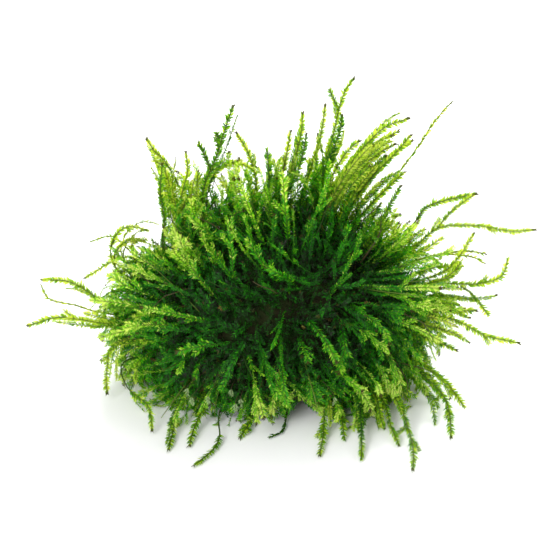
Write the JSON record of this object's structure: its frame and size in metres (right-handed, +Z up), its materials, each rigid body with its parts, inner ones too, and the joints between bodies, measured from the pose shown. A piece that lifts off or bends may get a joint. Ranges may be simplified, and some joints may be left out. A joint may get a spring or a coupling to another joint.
{
  "type": "java moss on driftwood",
  "caption": "Clump of java moss grown over a gnarled piece of driftwood, with long leafy shoots trailing and standing on every side, resting on a flat underside.",
  "frame": {"origin": "middle of the footprint, at the height of the surface it rests on", "axes": "+Z up, +X to the right along the driftwood's grain, -Y towards the front"},
  "size_m": [0.1221, 0.0881, 0.0731],
  "materials": {
    "driftwood": "dark water-logged driftwood, ridged along its grain, with paler weathered patches",
    "moss": "dense dark green moss of tiny overlapping leaves, brown and nearly black in its hollows",
    "moss_shoot": "leafy yellow-green shoots that let light through, with darker tips",
    "bare_stem": "thin bare stems, grey-green to dark olive"
  },
  "bodies": {
    "root": {"driftwood": "driftwood", "moss_mat": "moss", "shoot_left_1": "moss_shoot", "shoot_left_2": "moss_shoot", "shoot_left_3": "moss_shoot", "shoot_left_4": "moss_shoot", "shoot_left_5": "moss_shoot", "stem_left_1": "bare_stem", "stem_left_2": "bare_stem", "shoot_front_1": "moss_shoot", "shoot_front_2": "moss_shoot", "shoot_front_3": "moss_shoot", "shoot_front_4": "moss_shoot", "shoot_front_5": "moss_shoot", "shoot_front_6": "moss_shoot", "shoot_front_7": "moss_shoot", "shoot_front_8": "moss_shoot", "shoot_front_9": "moss_shoot", "stem_front_1": "bare_stem", "shoot_right_1": "moss_shoot", "shoot_right_2": "moss_shoot", "shoot_right_3": "moss_shoot", "shoot_right_4": "moss_shoot", "shoot_right_5": "moss_shoot", "shoot_right_6": "moss_shoot", "shoot_right_7": "moss_shoot", "shoot_right_8": "moss_shoot", "shoot_right_9": "moss_shoot", "stem_right_1": "bare_stem", "shoot_top_1": "moss_shoot", "shoot_top_2": "moss_shoot", "shoot_top_3": "moss_shoot", "shoot_top_4": "moss_shoot", "shoot_top_5": "moss_shoot", "shoot_top_6": "moss_shoot", "shoot_top_7": "moss_shoot", "shoot_top_8": "moss_shoot", "shoot_top_9": "moss_shoot", "shoot_top_10": "moss_shoot", "shoot_top_11": "moss_shoot", "shoot_top_12": "moss_shoot", "shoot_top_13": "moss_shoot", "shoot_top_14": "moss_shoot", "shoot_top_15": "moss_shoot", "shoot_top_16": "moss_shoot", "stem_top_1": "bare_stem", "shoot_back_1": "moss_shoot", "shoot_back_2": "moss_shoot", "shoot_back_3": "moss_shoot", "shoot_back_4": "moss_shoot", "shoot_back_5": "moss_shoot", "shoot_back_6": "moss_shoot", "shoot_back_7": "moss_shoot", "shoot_back_8": "moss_shoot", "shoot_back_9": "moss_shoot", "shoot_back_10": "moss_shoot", "shoot_back_11": "moss_shoot"}
  },
  "joints": []
}
